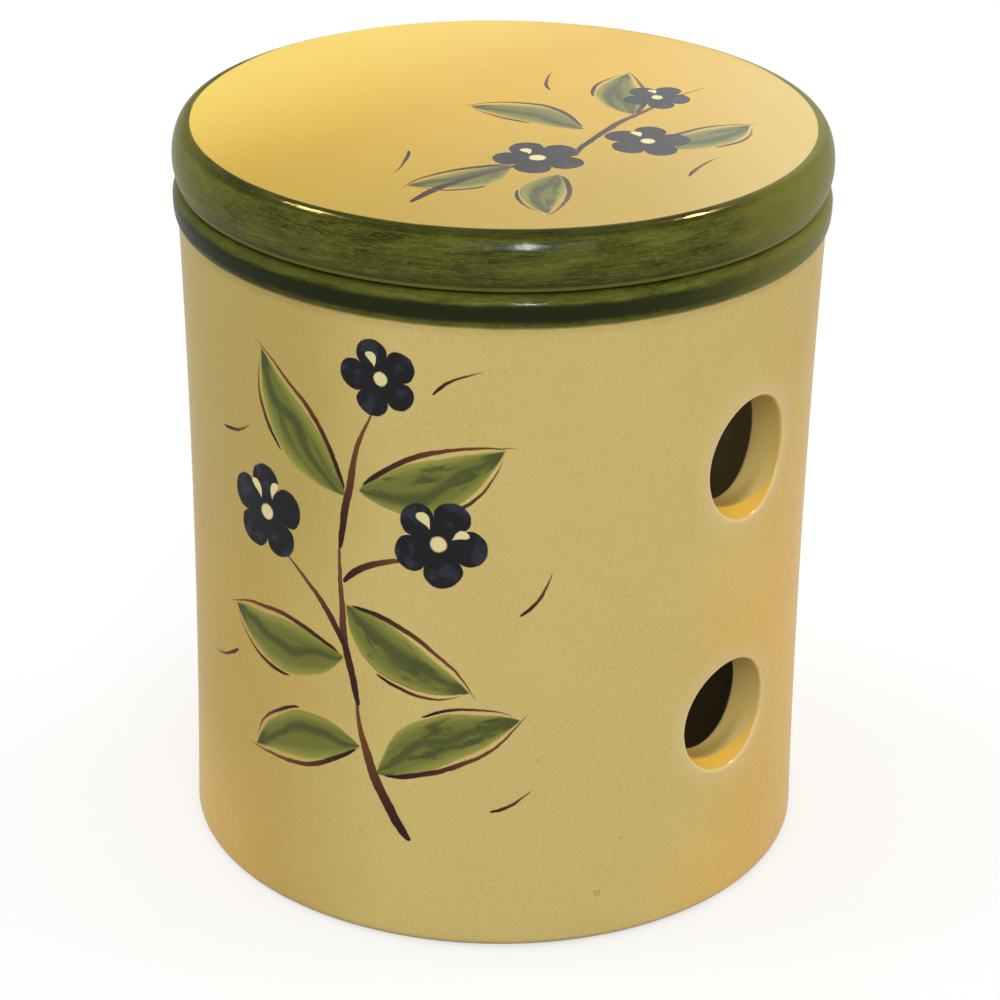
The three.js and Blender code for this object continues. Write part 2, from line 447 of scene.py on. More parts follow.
def cut_vent(shell, rows, shape, vent, turn):
    """Fill a vent's patch with rings that close in on its rolled lip, and line its bore"""
    s = shape.sizes
    columns = shape.patch_columns(turn)
    outside = shape.patch_loop(shape.outside_rows, vent, columns, rows)
    inside = shape.patch_loop(shape.inside_rows, vent, columns, rows)
    turn += vent.off_round / shape.wall_radius(vent.height)

    def place_of(index):
        """Across and up to a point from the middle of the vent"""
        x, y, z = shell.points[index]
        return (x * math.cos(turn) + y * math.sin(turn), z - vent.height)

    angles = [math.atan2(*place_of(index)) for index in outside]

    def edge_place(angle, flare, inset):
        """Across and up to the bore's edge, or this much outside it, this far into the wall"""
        lift = vent.foot_rise / 2 * inset / s.wall_thickness
        up = lift + (vent.half_height - lift + flare) * math.cos(angle)
        return (vent.half_width + flare) * math.sin(angle), up

    def ring_of(flare, inset, depth):
        """A ring round the bore, this far outside its edge, into the wall and sunk under the wall's face"""
        return shell.ring([
            vent_point(shape, vent, turn, *edge_place(angle, flare, inset), inset, depth)
            for angle in angles
        ])

    def closing_in(loop, inset, share):
        """A ring on the way from the patch's border to the lip"""
        points = []
        for index, angle in zip(loop, angles):
            across, up = place_of(index)
            edge_across, edge_up = edge_place(angle, s.vent_lip, inset)
            points.append(vent_point(
                shape, vent, turn,
                across + (edge_across - across) * share,
                up + (edge_up - up) * share,
                inset, 0.0,
            ))
        return shell.ring(points)

    patch_steps = 4
    lip_steps = 7
    bore_steps = 4
    turns = [math.pi / 2 * (1 - step / lip_steps) for step in range(lip_steps + 1)]
    lip = [(s.vent_lip * (1 - math.cos(t)), s.vent_lip * (1 - math.sin(t))) for t in turns]
    chain = [outside]
    chain += [closing_in(outside, 0.0, step / patch_steps) for step in range(1, patch_steps)]
    chain += [ring_of(flare, 0.0, sunk) for flare, sunk in lip]
    for step in range(1, bore_steps):
        share = step / bore_steps
        chain.append(ring_of(0.0, s.wall_thickness * share, s.vent_lip * (1 - 2 * share)))
    chain += [ring_of(flare, s.wall_thickness, -sunk) for flare, sunk in reversed(lip)]
    chain += [
        closing_in(inside, s.wall_thickness, 1 - step / patch_steps) for step in range(1, patch_steps)
    ]
    chain.append(inside)
    for number, (low, high) in enumerate(zip(chain, chain[1:])):
        shell.join(low, high, WALL if number < patch_steps + lip_steps + bore_steps else INSIDE)


def jar_shell(shape):
    """The turned jar with its vents cut on both sides"""
    turns = [math.pi / 2, 3 * math.pi / 2]
    skipped_columns = {column for turn in turns for column in shape.patch_columns(turn)[:-1]}
    skipped_rows = set()
    for rows in (shape.outside_rows, shape.inside_rows):
        for vent in shape.vents:
            skipped_rows |= set(sorted(shape.patch_rows(rows, vent))[:-1])

    def skip_faces(row):
        """The columns where this row has no faces of its own, because a patch takes their place"""
        return skipped_columns if row in skipped_rows else ()

    shell, rows = turn_outline(shape.outline, shape.fineness.columns, skip_faces)
    for turn in turns:
        for vent in shape.vents:
            cut_vent(shell, rows, shape, vent, turn)
    return shell


PANEL, RIM, UNDERSIDE, LAND = range(4)


def lid_shell(sizes, jar_sizes, fineness):
    """The turned lid, from the middle of its underside out over the ring and back over the rim"""
    s = sizes
    radius, top = lid_high.x, lid_high.z
    bottom = top - s.height
    underside = top - s.thickness
    ring_bottom = lid_low.z
    ring_outer = radius - jar_sizes.bead_proud - jar_sizes.wall_thickness - s.ring_clearance
    ring_inner = ring_outer - s.ring_width
    lower = radius - s.under_draft
    edge_top = bottom + s.lower_edge
    crest = top - s.round_height

    outline = Outline()
    outline.add(0.0, underside, UNDERSIDE)
    outline.add(HUB_RADIUS, underside, UNDERSIDE)
    outline.straight(ring_inner - s.ring_root, underside, UNDERSIDE, 12)
    outline.quarter(ring_inner, underside - s.ring_root, True, UNDERSIDE, 6)
    outline.straight(ring_inner, ring_bottom + s.ring_round, UNDERSIDE, 4)
    outline.quarter(ring_inner + s.ring_round, ring_bottom, False, UNDERSIDE, 6)
    outline.straight(ring_outer - s.ring_round, ring_bottom, UNDERSIDE, 2)
    outline.quarter(ring_outer, ring_bottom + s.ring_round, True, UNDERSIDE, 6)
    outline.straight(ring_outer, bottom, UNDERSIDE, 4)
    outline.straight(lower - s.lower_edge, bottom, LAND, 5)
    outline.quarter(lower, edge_top, True, RIM, 6)
    steps = 8
    for step in range(1, steps + 1):
        share = step / steps
        outline.add(
            lower + s.under_draft * (1 - (1 - share) ** 2), edge_top + (crest - edge_top) * share, RIM
        )
    outline.quarter(radius - s.round_width, top, False, RIM, 16)
    outline.straight(radius - s.round_width - RIM_OVER_PANEL, top, RIM, 2)
    outline.straight(HUB_RADIUS, top, PANEL, 18)
    outline.add(0.0, top, PANEL)
    return turn_outline(outline, fineness.columns)[0]


# Finishes


def add_node(tree, kind, sockets=None, out=0, **settings):
    """Adds a node, sets it, fills its sockets with values or links, and gives back one of its outputs"""
    made = tree.nodes.new(kind)
    for name, value in settings.items():
        setattr(made, name, value)
    for name, value in (sockets or {}).items():
        if isinstance(value, bpy.types.NodeSocket):
            tree.links.new(value, made.inputs[name])
        else:
            made.inputs[name].default_value = value
    return made.outputs[out] if len(made.outputs) else made


VECTOR = "NodeSocketVector"
NUMBER = "NodeSocketFloat"
MATHS = "ShaderNodeMath"
VECTOR_MATHS = "ShaderNodeVectorMath"
NOISE = "ShaderNodeTexNoise"
SPLIT = "ShaderNodeSeparateXYZ"
COMBINE = "ShaderNodeCombineXYZ"
MAPPING = "ShaderNodeMapping"
RANGE = "ShaderNodeMapRange"
SMOOTHLY = {"interpolation_type": "SMOOTHSTEP"}
MIX = "ShaderNodeMix"
# Where the sockets of a mix node are, for colours, vectors and numbers
COLOUR_A, COLOUR_B, COLOUR_OUT = 6, 7, 2
VECTOR_A, VECTOR_B, VECTOR_OUT = 4, 5, 1
FLOAT_A, FLOAT_B = 2, 3


def between(low, high, to_low=0.0, to_high=1.0):
    """The sockets of a range that goes from one level to another as its value goes from low to high"""
    if low > high:
        low, high, to_low, to_high = high, low, to_high, to_low
    return {"From Min": low, "From Max": high, "To Min": to_low, "To Max": to_high}


def gone_over(tree, colour, *coats):
    """Goes over a colour with coats of paint in turn.

    Each coat has its paint, the value that it follows, from where to where, and its share at most.
    """
    for paint, value, low, high, *most in coats:
        share = add_node(tree, RANGE, {"Value": value, **between(low, high, 0.0, *most)}, **SMOOTHLY)
        mix = {0: share, COLOUR_A: colour, COLOUR_B: paint}
        colour = add_node(tree, MIX, mix, COLOUR_OUT, data_type="RGBA")
    return colour


def product_of(tree, *ramps):
    """The product of smooth ramps. Each has its value, from where to where, and what it goes from and to"""
    product = None
    for value, *levels in ramps:
        ramp = add_node(tree, RANGE, {"Value": value, **between(*levels)}, **SMOOTHLY)
        if product is None:
            product = ramp
        else:
            product = add_node(tree, MATHS, {0: product, 1: ramp}, operation="MULTIPLY")
    return product


PETALS = 5
# How far out from a blossom's middle its petals part, as a share of its radius
PETAL_GAP = 0.58
# Half width below which a stroke doesn't stretch its hairs, as a share of its greatest half width
LEAST_HALF_WIDTH = 0.15


def mark_group(name, build, *more_inputs):
    """A shared group for one mark of the brush: how thick the paint lies, and the place in the mark.

    It takes a place on the surface, and the mark's own place, turn and reach.
    """
    if name in bpy.data.node_groups:
        return bpy.data.node_groups[name]
    tree = bpy.data.node_groups.new(name, "ShaderNodeTree")
    for label in ("Surface", "Place", "Turn", "Reach"):
        tree.interface.new_socket(name=label, in_out="INPUT", socket_type=VECTOR)
    for label in more_inputs:
        tree.interface.new_socket(name=label, in_out="INPUT", socket_type=NUMBER)
    for label, kind in (("Paint", NUMBER), ("Local", VECTOR)):
        tree.interface.new_socket(name=label, in_out="OUTPUT", socket_type=kind)
    given = tree.nodes.new("NodeGroupInput").outputs
    local = add_node(tree, MAPPING, {
        "Vector": given["Surface"], "Location": given["Place"],
        "Rotation": given["Turn"], "Scale": given["Reach"],
    }, vector_type="TEXTURE")
    split = add_node(tree, SPLIT, {0: local}).node.outputs
    paint, back = build(tree, given, split[0], split[1])
    add_node(tree, "NodeGroupOutput", {"Paint": paint, "Local": back})
    return tree


def brush_stroke(tree, given, along, across):
    """A stroke of a loaded brush, bent, full and tapered. The place in it is from -1 to 1 along and across"""
    squared = add_node(tree, MATHS, {0: along, 1: along}, operation="MULTIPLY")
    open_share = add_node(tree, MATHS, {0: 1.0, 1: squared}, operation="SUBTRACT", use_clamp=True)
    lift = add_node(tree, MATHS, {0: open_share, 1: given["Bend"]}, operation="MULTIPLY")
    across = add_node(tree, MATHS, {0: across, 1: lift}, operation="SUBTRACT")
    belly = add_node(tree, MATHS, {0: open_share, 1: given["Fullness"]}, operation="POWER")
    thinning = add_node(tree, MATHS, {0: along, 1: given["Taper"]}, operation="MULTIPLY")
    thinning = add_node(tree, MATHS, {0: 1.0, 1: thinning}, operation="SUBTRACT")
    half_width = add_node(tree, MATHS, {0: belly, 1: thinning}, operation="MULTIPLY")
    off_middle = add_node(tree, MATHS, {0: across}, operation="ABSOLUTE")
    inside = add_node(tree, MATHS, {0: half_width, 1: off_middle}, operation="SUBTRACT")
    reach = add_node(tree, SPLIT, {0: given["Reach"]}).node.outputs[1]
    inside = add_node(tree, MATHS, {0: inside, 1: reach}, operation="MULTIPLY")
    softness = {"Value": inside, "From Min": 0.0, "From Max": given["Softness"]}
    paint = add_node(tree, RANGE, softness, **SMOOTHLY)
    half_width = add_node(tree, MATHS, {0: half_width, 1: LEAST_HALF_WIDTH}, operation="MAXIMUM")
    share = add_node(tree, MATHS, {0: across, 1: half_width}, operation="DIVIDE")
    return paint, add_node(tree, COMBINE, {0: along, 1: share, 2: 0.0})


def blossom(tree, given, across, up):
    """A five-petalled blossom, dabbed on petal by petal. Its place is the radius, the petal and the turn"""
    flat = add_node(tree, COMBINE, {0: across, 1: up, 2: 0.0})
    radius = add_node(tree, VECTOR_MATHS, {0: flat}, out=1, operation="LENGTH")
    angle = add_node(tree, MATHS, {0: up, 1: across}, operation="ARCTAN2")
    petal = add_node(tree, MATHS, {0: angle, 1: PETALS / 2}, operation="MULTIPLY")
    for operation in ("COSINE", "ABSOLUTE"):
        petal = add_node(tree, MATHS, {0: petal}, operation=operation)
    petal = add_node(tree, MATHS, {0: petal, 1: 0.5}, operation="POWER")
    edge = add_node(tree, MATHS, {0: petal, 1: 1 - PETAL_GAP, 2: PETAL_GAP}, operation="MULTIPLY_ADD")
    inside = add_node(tree, MATHS, {0: edge, 1: radius}, operation="SUBTRACT")
    paint = add_node(tree, RANGE, {"Value": inside, **between(0.0, 0.04)}, **SMOOTHLY)
    return paint, add_node(tree, COMBINE, {0: radius, 1: petal, 2: angle})


# The painted sprays, in millimetres from the place of each: round and up on the jar, along X and Y on
# the lid. A leaf, line or cream stroke runs from a start to an end, with its sag to the left of its way
# and its greatest half width. A blossom has its middle, its radius and its turn in radians.
JAR_SPRAY = {
    "place": (12.0, 68.0),
    "leaves": [
        ((9.0, -34.0), (37.0, -21.0), 2.6, 5.3),
        ((6.0, -29.0), (-21.0, -38.0), -2.8, 5.0),
        ((2.5, -12.0), (-27.0, -10.0), 3.0, 5.4),
        ((2.5, -1.0), (27.0, -15.0), -2.4, 5.0),
        ((3.0, 20.0), (-16.0, 44.0), 2.6, 5.2),
        ((5.0, 22.0), (33.0, 33.0), -3.0, 5.3),
    ],
    "lines": [
        ((16.0, -47.0), (5.0, -17.0), 2.6, 1.0),
        ((5.6, -21.0), (2.2, 12.0), 1.8, 0.82),
        ((2.2, 9.0), (9.0, 39.0), 1.6, 0.72),
        ((3.6, -12.0), (-13.0, 6.0), -2.4, 0.66),
        ((2.4, 3.0), (19.0, 10.0), 2.0, 0.66),
        ((-29.0, 24.0), (-19.0, 28.0), -1.0, 0.4),
        ((31.0, -40.0), (39.0, -35.0), -0.8, 0.4),
        ((36.0, 0.0), (42.0, 9.0), -1.0, 0.42),
        ((-26.0, -20.0), (-36.0, -24.0), 1.0, 0.4),
        ((20.0, 42.0), (29.0, 47.0), 0.9, 0.38),
    ],
    "blossoms": [((-16.0, 12.0), 9.4, 0.3), ((21.0, 14.0), 9.0, 1.1), ((10.0, 44.0), 7.6, 0.6)],
    "cream": [
        ((-19.6, 17.4), (-17.4, 14.2), 0.5, 0.9),
        ((-12.6, 18.0), (-14.2, 14.6), -0.5, 0.8),
        ((17.0, 19.4), (19.4, 16.4), 0.6, 0.95),
        ((26.6, 15.8), (23.4, 14.8), -0.5, 0.8),
        ((7.6, 48.8), (9.0, 46.0), 0.5, 0.8),
    ],
}
LID_SPRAY = {
    "place": (22.0, -3.0),
    "leaves": [
        ((-4.0, -15.0), (-10.0, -36.0), 2.2, 4.2),
        ((5.0, -13.0), (17.0, -29.0), -2.0, 4.0),
        ((-7.0, 8.0), (-31.0, 3.0), -2.4, 4.4),
        ((7.0, 9.0), (13.0, 31.0), -2.2, 4.2),
        ((-6.0, 20.0), (-22.0, 38.0), 2.2, 4.2),
    ],
    "lines": [
        ((-4.0, -41.0), (1.0, -4.0), 3.0, 0.8),
        ((1.0, -4.0), (-6.0, 42.0), 3.0, 0.66),
        ((-22.0, -22.0), (-16.0, -33.0), 0.9, 0.4),
        ((22.0, 2.0), (20.0, 14.0), 1.0, 0.42),
        ((-26.0, 20.0), (-33.0, 29.0), 0.9, 0.4),
    ],
    "blossoms": [((-3.0, -9.0), 8.4, 0.2), ((5.0, 11.0), 8.0, 0.9), ((-9.0, 31.0), 6.6, 0.5)],
    "cream": [
        ((-8.2, -7.6), (-5.2, -8.6), 0.5, 0.85),
        ((-0.2, 12.6), (2.6, 11.6), 0.5, 0.85),
        ((-12.8, 33.2), (-10.6, 32.0), 0.4, 0.7),
    ],
}


def stroke_sockets(start, end, sag, half_width):
    """A stroke between two places, as the settings of a brush stroke"""
    run = Vector(end) - Vector(start)
    middle = (Vector(start) + Vector(end)) / 2
    return {
        "Place": (middle.x, middle.y, 0.0),
        "Turn": (0.0, 0.0, math.atan2(run.y, run.x)),
        "Reach": (run.length / 2, half_width, 1.0),
        "Bend": sag / half_width,
    }


def edge_line(leaf, side, gap, first, last, half_width):
    """A line that follows a leaf this far outside its edge, between two places from -1 to 1 along it"""
    start, end, sag, belly = leaf
    half_run = (Vector(end) - Vector(start)) / 2
    middle = Vector(start) + half_run
    across = Vector((-half_run.y, half_run.x)).normalized()
    bend = sag + side * (belly + gap)
    ends = [middle + half_run * along + across * bend * (1 - along * along) for along in (first, last)]
    return (*ends, bend * ((last - first) / 2) ** 2, half_width)


def leaf_outlines(leaves):
    """A long line along one side of each leaf, past its tip, and a short one along the other"""
    lines = []
    for number, leaf in enumerate(leaves):
        side = 1 if number % 2 else -1
        lines.append(edge_line(leaf, side, 0.8, -0.9, 1.12, 0.56))
        lines.append(edge_line(leaf, -side, 0.4, -0.15, 0.92, 0.42))
    return lines


def laid_over(tree, group, marks, surface):
    """Lays marks over each other, and gives back how thick they lie and the place in the topmost"""
    paint = local = None
    for mark in marks:
        laid = add_node(tree, "ShaderNodeGroup", {"Surface": surface, **mark}, node_tree=group).node.outputs
        if paint is None:
            paint, local = laid["Paint"], laid["Local"]
            continue
        local = add_node(
            tree, MIX, {0: laid["Paint"], VECTOR_A: local, VECTOR_B: laid["Local"]},
            out=VECTOR_OUT, data_type="VECTOR",
        )
        paint = add_node(tree, MATHS, {0: paint, 1: laid["Paint"]}, operation="MAXIMUM")
    return paint, local


def place_in_mm(tree):
    """The place on the piece at rest, in millimetres, and its X, Y and Z"""
    place = add_node(tree, "ShaderNodeTexCoord", out="Object")
    place = add_node(tree, VECTOR_MATHS, {0: place, "Scale": 1 / MM}, operation="SCALE")
    return place, add_node(tree, SPLIT, {0: place}).node.outputs


def around_in_mm(tree, split, radius):
    """Millimetres round from the front, towards +X"""
    front = add_node(tree, MATHS, {0: split[1], 1: -1.0}, operation="MULTIPLY")
    turn = add_node(tree, MATHS, {0: split[0], 1: front}, operation="ARCTAN2")
    return add_node(tree, MATHS, {0: turn, 1: radius / MM}, operation="MULTIPLY")


def off_axis_in_mm(tree, split):
    """Millimetres from the upright axis"""
    level = add_node(tree, COMBINE, {0: split[0], 1: split[1], 2: 0.0})
    return add_node(tree, VECTOR_MATHS, {0: level}, out=1, operation="LENGTH")


def drifting(tree, value, place, size, amount, detail=2.0):
    """Lets a value drift by up to this amount, in clouds of this size in millimetres"""
    cloud = add_node(tree, NOISE, {"Vector": place, "Scale": 1 / size, "Detail": detail})
    return add_node(tree, MATHS, {0: cloud, 1: amount, 2: value}, operation="MULTIPLY_ADD")


# Where a lighter sheen is painted sideways on the green of the bead and of the rim, in millimetres: its
# middle, and from how far to how far off it
BEAD_SHEEN_FROM = (-25.0, 56.0, 88.0)
RIM_SHEEN_FROM = (-6.0, 38.0, 62.0)
# The brushed slip's relief as a share of the glaze's, and the glaze over it
BRUSH_RELIEF = 1.3
RIM_COAT = 0.36
RIM_IOR = 1.3
# The way, level, along which light and shade are painted across the pieces
SIDE_LIGHT_WAY = (0.749, 0.663, 0.0)
# The way, level, to the side where the green round the lid was brushed narrower
BACK_WAY = (-0.663, 0.749, 0.0)
# The way, level, in which the light painted on the lid's slip falls off from golden to duller
LID_LIGHT_WAY = (0.85, -0.52, 0.0)
# Pinholes that healed over, with a rusty edge: place and radius, in millimetres
PINHOLES = [((50.8, -28.5, 9.9), 0.9), ((52.7, -24.4, 20.6), 0.5), ((56.5, 10.4, 43.0), 0.9)]
# Spacing in millimetres, largest radius as a share of it, and strength of the small and large specks
SPECKS = [(0.95, 0.26, 0.32), (2.1, 0.17, 0.34), (7.0, 0.07, 0.55)]
# Sizes of the crowds of specks and of the mottle, in millimetres
SPECK_CROWDS = 16.0
MOTTLE = 0.45


def speckled(tree, place, colour, speckle, share=1.0):
    """Lets iron specks bleed through a slip, in crowds, over a finer mottle.

    The real mottle is about 0.2 mm fine. It is drawn coarser, so that it shows.
    """
    crowds = {"Vector": place, "Scale": 1 / SPECK_CROWDS, "Detail": 3.0, "Roughness": 0.6}
    crowd = add_node(tree, NOISE, crowds)
    grain = add_node(tree, NOISE, {"Vector": place, "Scale": 1 / MOTTLE, "Detail": 2.0, "Roughness": 0.7})
    grain = add_node(tree, MATHS, {0: crowd, 1: 0.3, 2: grain}, operation="MULTIPLY_ADD")
    colour = gone_over(tree, colour, (speckle, grain, 0.48, 0.95, 0.3 * share))
    for spacing, largest, strength in SPECKS:
        cells = add_node(tree, "ShaderNodeTexVoronoi", {"Vector": place, "Scale": 1 / spacing}).node.outputs
        draw = add_node(tree, "ShaderNodeSeparateColor", {0: cells["Color"]})
        draw = add_node(tree, MATHS, {0: crowd, 1: 0.8, 2: draw}, operation="MULTIPLY_ADD")
        radius = add_node(tree, RANGE, {"Value": draw, **between(0.75, 1.5, -0.04, largest)}, **SMOOTHLY)
        over = add_node(tree, MATHS, {0: radius, 1: cells["Distance"]}, operation="SUBTRACT")
        colour = gone_over(tree, colour, (speckle, over, 0.0, 0.06, strength * share))
    return colour


def green_slip(tree, place, around, section, pooled, sheen_from, glazes):
    """Green slip brushed on round a rim, in fine streaks, and mottled where it lies thin.

    It darkens where pooled says, and a lighter sheen is painted on it sideways: sheen_from says from which
    middle, and from how far to how far off it.
    """
    on_rim = add_node(tree, COMBINE, {0: around, 1: section, 2: 0.0})

    def streaks(length, width, detail=3.0, roughness=0.6):
        """Noise drawn out along the rim, this long and wide in millimetres"""
        drawn_out = add_node(tree, MAPPING, {"Vector": on_rim, "Scale": (1 / length, 1 / width, 1.0)})
        hairs = {"Vector": drawn_out, "Scale": 1.0, "Detail": detail, "Roughness": roughness}
        return add_node(tree, NOISE, hairs)

    broad, fine, pools = streaks(9.0, 0.9), streaks(4.5, 0.26), streaks(15.0, 5.0)
    thickness = add_node(tree, MATHS, {0: broad, 1: 0.8, 2: fine}, operation="MULTIPLY_ADD")
    thickness = add_node(tree, MATHS, {0: pools, 1: 1.4, 2: thickness}, operation="MULTIPLY_ADD")
    flecks = streaks(1.4, 0.4, 2.0, 0.75)
    middle, first, last = sheen_from
    sideways = add_node(tree, VECTOR_MATHS, {0: place, 1: SIDE_LIGHT_WAY}, out=1, operation="DOT_PRODUCT")
    sideways = add_node(tree, MATHS, {0: sideways, 1: middle}, operation="SUBTRACT")
    sideways = add_node(tree, MATHS, {0: sideways}, operation="ABSOLUTE")
    colour = gone_over(
        tree, glazes.green,
        (glazes.green_light, thickness, 1.6, 1.25, 0.42),
        (glazes.green_dark, thickness, 1.57, 1.92, 0.72),
        (glazes.green_light, flecks, 0.48, 0.74, 0.48),
        # Darker where pooled says: glaze pooled by the lid's panel, and shade painted on the lower bead and
        # on the rim's lower side
        (glazes.green_dark, pooled, 0.0, 1.0),
        # Painted sheen: lighter green towards the sides
        (glazes.green_light, sideways, first, last, 0.8),
    )
    return colour, add_node(tree, MATHS, {0: fine, 1: 0.12, 2: broad}, operation="MULTIPLY_ADD")


def new_material(name):
    """An empty material"""
    material = bpy.data.materials.new(name)
    material.use_nodes = True
    material.node_tree.nodes.clear()
    return material


def piece_material(name):
    """An empty material, its node tree, the place on the piece at rest in millimetres, and its X, Y and Z"""
    material = new_material(name)
    return (material, material.node_tree, *place_in_mm(material.node_tree))


def glazed(material, colour, relief, roughness=0.12, depth=0.06, coat=0.3, ior=1.52):
    """Finishes a material off as slip under a clear glaze, with a relief up to this deep in millimetres.

    The slip scatters light like clay, at a roughness of 0.6. The glaze over it has the IOR of glass, or a
    lower one where brushed slip under it leaves it less clear.
    """
    tree = material.node_tree
    bump = add_node(tree, "ShaderNodeBump", {"Height": relief, "Strength": 1.0, "Distance": depth * MM})
    shader = add_node(tree, "ShaderNodeBsdfPrincipled", {
        "Base Color": colour, "Normal": bump, "Roughness": 0.6, "IOR": 1.5, "Specular IOR Level": 0.0,
        "Coat Weight": coat, "Coat Roughness": roughness, "Coat IOR": ior, "Coat Normal": bump,
    })
    add_node(tree, "ShaderNodeOutputMaterial", {"Surface": shader})
    return material


def glaze_relief(tree, place):
    """The glaze's slight unevenness: waves 15 mm long, and an orange peel of 1.5 mm"""
    waves = add_node(tree, NOISE, {"Vector": place, "Scale": 1 / 15.0, "Detail": 1.0})
    return drifting(tree, waves, place, 1.5, 0.06, 1.0)


def washed_leaf(tree, leaf_place, surface, glazes):
    """Olive wash of a leaf: thin and yellow at its edge, darker down its middle and at its tip"""
    split = add_node(tree, SPLIT, {0: leaf_place}).node.outputs
    along, across = split[0], split[1]
    drift = add_node(tree, VECTOR_MATHS, {0: surface, "Scale": 0.07}, operation="SCALE")
    brush = add_node(tree, MAPPING, {"Vector": leaf_place, "Scale": (0.9, 1.7, 1.0)})
    brush = add_node(tree, VECTOR_MATHS, {0: brush, 1: drift}, operation="ADD")
    hairs = add_node(tree, NOISE, {"Vector": brush, "Scale": 1.0, "Detail": 3.0, "Roughness": 0.55})
    hairs = add_node(tree, RANGE, {"Value": hairs, **between(0.46, 0.64)}, **SMOOTHLY)

    wander = add_node(tree, NOISE, {"Vector": drift, "Scale": 1.0, "Detail": 1.0})
    wander = add_node(tree, RANGE, {"Value": wander, **between(0.3, 0.7, -0.3, 0.3)}, **SMOOTHLY)
    off_vein = add_node(tree, MATHS, {0: across, 1: wander}, operation="SUBTRACT")
    off_vein = add_node(tree, MATHS, {0: off_vein}, operation="ABSOLUTE")
    vein = add_node(tree, RANGE, {"Value": off_vein, **between(0.42, 0.04, 0.0, 0.8)}, **SMOOTHLY)
    tip = add_node(tree, RANGE, {"Value": along, **between(0.55, 0.85)}, **SMOOTHLY)
    side = add_node(tree, MATHS, {0: across}, operation="ABSOLUTE")
    edge = add_node(tree, RANGE, {"Value": side, **between(0.45, 1.0)}, **SMOOTHLY)
    dark = add_node(tree, MATHS, {0: vein, 1: hairs}, operation="MAXIMUM")
    dark = add_node(tree, MATHS, {0: dark, 1: tip}, operation="MAXIMUM")
    dark = add_node(tree, MATHS, {0: dark, 1: edge}, operation="SUBTRACT")
    return gone_over(
        tree, glazes.leaf, (glazes.leaf_pale, side, 0.45, 1.0), (glazes.leaf_dark, dark, 0.0, 1.0)
    )


def dabbed_blossom(tree, petal_place, surface, glazes):
    """Blue-black petals, thinner and bluer in patches down the middle of each, round a cream heart"""
    split = add_node(tree, SPLIT, {0: petal_place}).node.outputs
    bloom = add_node(tree, NOISE, {"Vector": surface, "Scale": 1 / 3.4, "Detail": 2.0})
    bloom = product_of(tree, (bloom, 0.44, 0.62), (split[1], 0.55, 0.95), (split[0], 0.3, 0.6))
    return gone_over(
        tree, glazes.petal, (glazes.petal_pale, bloom, 0.0, 1.0), (glazes.cream, split[0], 0.19, 0.14)
    )


def painted_spray(tree, surface, spray, under, relief, glazes):
    """Paints a spray over a glaze: washed leaves, brown lines, blossoms and their cream strokes"""
    stroke = mark_group("Brush stroke", brush_stroke, "Bend", "Fullness", "Taper", "Softness")
    for size, amount in ((14.0, 2.0), (1.6, 0.3)):
        shake = add_node(tree, NOISE, {"Vector": surface, "Scale": 1 / size, "Detail": 1.0}, out="Color")
        shake = add_node(tree, VECTOR_MATHS, {0: shake, 1: (0.5, 0.5, 0.5)}, operation="SUBTRACT")
        surface = add_node(
            tree, VECTOR_MATHS, {0: shake, 1: (amount, amount, 0.0), 2: surface}, operation="MULTIPLY_ADD"
        )
    surface = add_node(tree, VECTOR_MATHS, {0: surface, 1: (*spray["place"], 0.0)}, operation="SUBTRACT")

    def strokes(table, fullness, taper, softness):
        """The table's strokes, laid over each other"""
        brush = {"Fullness": fullness, "Taper": taper, "Softness": softness}
        return laid_over(tree, stroke, [{**stroke_sockets(*row), **brush} for row in table], surface)

    wash, leaf_place = strokes(spray["leaves"], 0.85, 0.22, 0.6)
    leaf = washed_leaf(tree, leaf_place, surface, glazes)
    lines, line_place = strokes(spray["lines"] + leaf_outlines(spray["leaves"]), 0.3, 0.5, 0.2)
    line_along = add_node(tree, SPLIT, {0: line_place}).node.outputs[0]
    line = gone_over(tree, glazes.line_dark, (glazes.line, line_along, -0.9, 0.7))
    blossoms = [
        {"Place": (*middle, 0.0), "Turn": (0.0, 0.0, turn), "Reach": (radius, radius, 1.0)}
        for middle, radius, turn in spray["blossoms"]
    ]
    petals, petal_place = laid_over(tree, mark_group("Blossom", blossom), blossoms, surface)
    petal = dabbed_blossom(tree, petal_place, surface, glazes)
    cream = strokes(spray["cream"], 0.5, 0.75, 0.22)[0]
    colour = gone_over(
        tree, under,
        (leaf, wash, 0.0, 1.0, 0.94),
        (line, lines, 0.0, 1.0),
        (petal, petals, 0.0, 1.0),
        (glazes.cream, cream, 0.0, 1.0),
    )
    raised = add_node(tree, MATHS, {0: wash, 1: petals}, operation="ADD")
    return colour, add_node(tree, MATHS, {0: raised, 1: 0.25, 2: relief}, operation="MULTIPLY_ADD")


